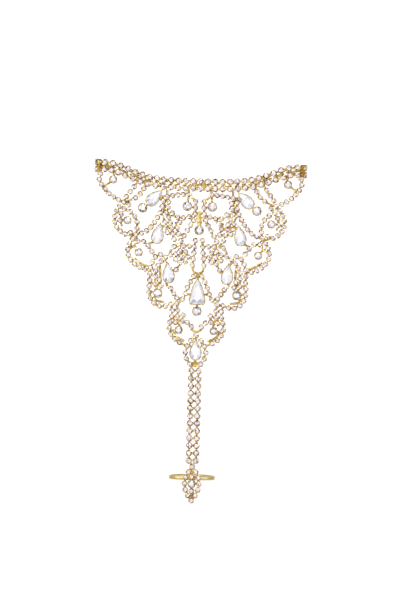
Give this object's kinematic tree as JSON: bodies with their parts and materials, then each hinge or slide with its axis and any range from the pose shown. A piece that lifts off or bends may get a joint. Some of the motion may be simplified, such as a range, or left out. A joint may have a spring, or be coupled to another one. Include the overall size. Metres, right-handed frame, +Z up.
{
  "type": "rhinestone hand chain bracelet with finger ring",
  "caption": "Gold-tone hand chain: two-row stone wristband, pierced lace of set crystals over the hand, stone strap and pointed oval finger ring.",
  "frame": {"origin": "centre of the wrist opening, level with the middle of the wrist band's dip", "axes": "+Z up the arm, away from the fingers; -Y out of the set front; +X across the hand, to the right of someone who faces the front"},
  "size_m": [0.0916, 0.0227, 0.1471],
  "materials": {
    "gold": "polished light gold plating",
    "crystal": "faceted clear stone with a bright foiled back",
    "drop_crystal": "larger faceted clear stone, close to white"
  },
  "bodies": {
    "root": {"back_chain_left": "gold", "back_chain_right": "gold", "band_end_left": "gold", "band_end_right": "gold", "band_stones": "crystal", "centre_drop": "drop_crystal", "centre_round": "crystal", "clasp": "gold", "cluster_round": "crystal", "cluster_stones": "crystal", "collar_round_left": "crystal", "collar_round_right": "crystal", "end_drop": "drop_crystal", "end_scroll_round_left": "crystal", "end_scroll_round_right": "crystal", "finger_ring": "gold", "hand_strap": "gold", "lace_stones": "crystal", "low_centre_round": "crystal", "lower_drop_left": "drop_crystal", "lower_drop_right": "drop_crystal", "lower_lace": "gold", "lower_scroll_round_left": "crystal", "lower_scroll_round_right": "crystal", "middle_drop_left": "drop_crystal", "middle_drop_right": "drop_crystal", "middle_scroll_round_left": "crystal", "middle_scroll_round_right": "crystal", "shoulder_round_left": "crystal", "shoulder_round_right": "crystal", "strap_stones": "crystal", "upper_drop_left": "drop_crystal", "upper_drop_right": "drop_crystal", "upper_lace": "gold", "upper_scroll_round_left": "crystal", "upper_scroll_round_right": "crystal", "wing_round_left": "crystal", "wing_round_right": "crystal", "wrist_band": "gold"}
  },
  "joints": []
}
